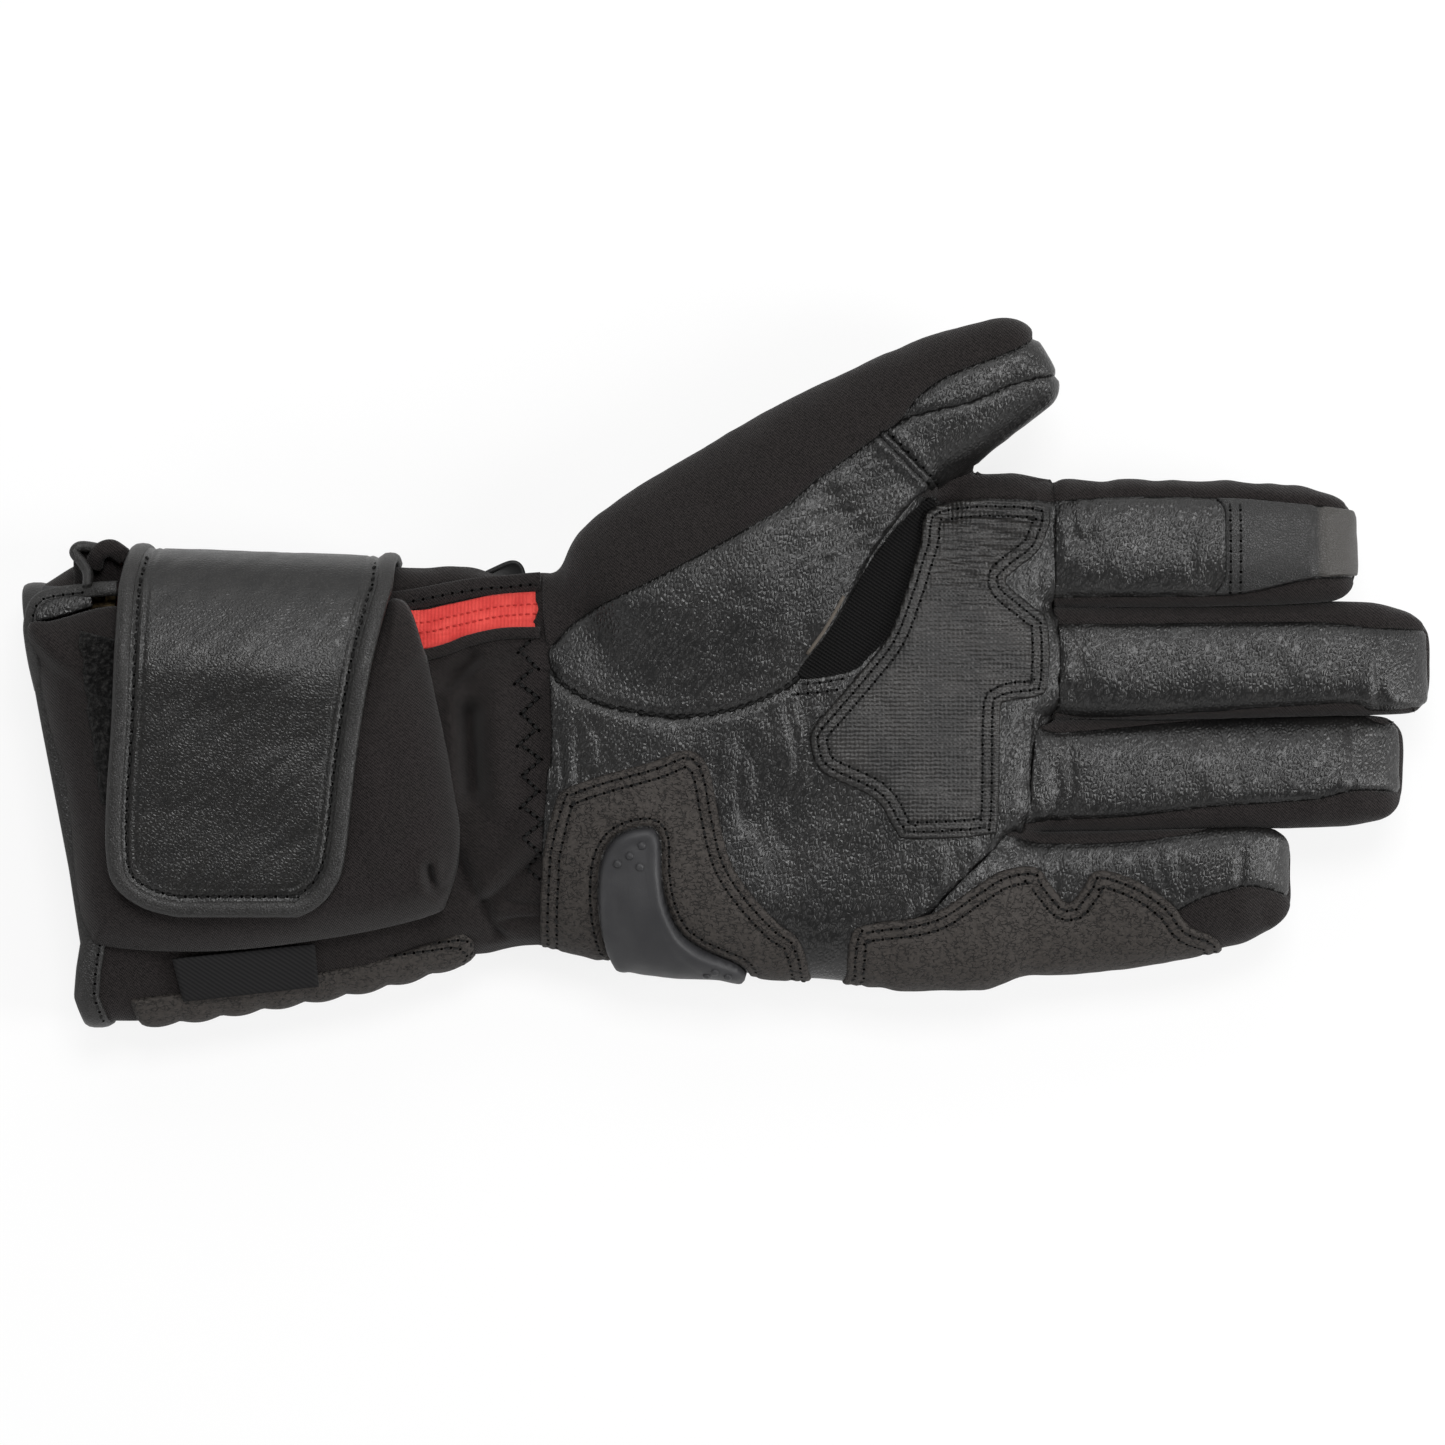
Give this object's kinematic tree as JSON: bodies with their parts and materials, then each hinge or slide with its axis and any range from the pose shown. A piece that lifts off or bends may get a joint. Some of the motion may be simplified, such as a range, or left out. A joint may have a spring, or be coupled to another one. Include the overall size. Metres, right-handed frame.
{
  "type": "insulated gauntlet glove",
  "caption": "Left insulated gauntlet glove with leather palm, fabric back, heel slider, side zip and a cuff pocket under a hinged flap.",
  "frame": {"origin": "centre of the bounding box's underside, on the surface that the glove lies on", "axes": "+X along the fingers, +Y towards the thumb, +Z out of the palm"},
  "size_m": [0.3198, 0.1582, 0.0538],
  "materials": {
    "grained_leather": "pebble-grained, satin",
    "softshell": "fine twill softshell, matt",
    "fleece_liner": "brushed fleece",
    "embossed_grip": "fine embossed grip weave",
    "abrasion_suede": "brushed suede, matt",
    "moulded": "moulded, satin",
    "stretch_knit": "ribbed stretch knit",
    "red_zip_tape": "woven zip tape, red",
    "zip_coil": "nylon coil",
    "hook_and_loop": "hook and loop tape",
    "zip_brass": "antique brass",
    "woven": "woven tape",
    "battery_case": "textured plastic"
  },
  "bodies": {
    "hand": {"palm_leather": "grained_leather", "back_softshell": "softshell", "hand_liner": "fleece_liner", "thumb_base_leather": "grained_leather", "thumb_base_softshell": "softshell", "thumb_base_liner": "fleece_liner", "grip_patch": "embossed_grip", "heel_patch": "abrasion_suede", "heel_slider": "moulded", "edge_patch": "abrasion_suede", "thumb_web_gusset": "stretch_knit", "knuckle_guard": "moulded"},
    "index": {"index_leather": "grained_leather", "index_softshell": "softshell", "index_liner": "fleece_liner", "index_touch_pad": "grained_leather"},
    "middle": {"middle_leather": "grained_leather", "middle_softshell": "softshell", "middle_liner": "fleece_liner"},
    "ring": {"ring_leather": "grained_leather", "ring_softshell": "softshell", "ring_liner": "fleece_liner"},
    "little": {"little_leather": "grained_leather", "little_softshell": "softshell", "little_liner": "fleece_liner", "little_edge_patch": "abrasion_suede"},
    "thumb_tip": {"thumb_tip_leather": "grained_leather", "thumb_tip_facing": "grained_leather", "thumb_tip_softshell": "softshell", "thumb_tip_liner": "fleece_liner"},
    "cuff": {"wrist_band": "softshell", "wrist_strap": "woven", "strap_tab": "moulded", "cuff_palm_panel": "softshell", "cuff_back_panel": "softshell", "cuff_liner": "fleece_liner", "mouth_binding": "grained_leather", "cuff_edge_guard": "abrasion_suede", "side_label": "woven", "battery_pouch": "softshell", "battery_pack": "battery_case", "loop_tape": "hook_and_loop", "zip_tape": "red_zip_tape", "zip_chain": "zip_coil", "flap_anchor": "grained_leather"},
    "flap": {"flap_leather": "grained_leather", "flap_binding": "grained_leather", "hook_tape": "hook_and_loop"},
    "zip": {"zip_slider": "zip_brass", "zip_puller": "moulded"}
  },
  "joints": [
    {"name": "index_flex", "type": "hinge", "parent": "hand", "child": "index", "pos_m": [0.0715, 0.0302, 0.0336], "axis": [0, -1, 0], "range_deg": [0, 75]},
    {"name": "middle_flex", "type": "hinge", "parent": "hand", "child": "middle", "pos_m": [0.0715, 0.0043, 0.0336], "axis": [0, -1, 0], "range_deg": [0, 75]},
    {"name": "ring_flex", "type": "hinge", "parent": "hand", "child": "ring", "pos_m": [0.0715, -0.0212, 0.0336], "axis": [0, -1, 0], "range_deg": [0, 75]},
    {"name": "little_flex", "type": "hinge", "parent": "hand", "child": "little", "pos_m": [0.0655, -0.0506, 0.0336], "axis": [0, -1, 0], "range_deg": [0, 75]},
    {"name": "thumb_flex", "type": "hinge", "parent": "hand", "child": "thumb_tip", "pos_m": [0.03959, 0.05673, 0.04539], "axis": [0.5299, -0.848, 0], "range_deg": [0, 60]},
    {"name": "wrist_flex", "type": "hinge", "parent": "hand", "child": "cuff", "pos_m": [-0.051, -0.0215, 0.017], "axis": [0, 1, 0], "range_deg": [-20, 20], "deforming": ["wrist_band"]},
    {"name": "flap_open", "type": "hinge", "parent": "cuff", "child": "flap", "pos_m": [-0.108, 0.0312, 0.0215], "axis": [-0.9993, 0.0375, 0], "range_deg": [0, 140]},
    {"name": "zip_slide", "type": "slide", "parent": "cuff", "child": "zip", "axis": [0.9969, -0.0754, 0.0219], "range_m": [0, 0.062]}
  ]
}
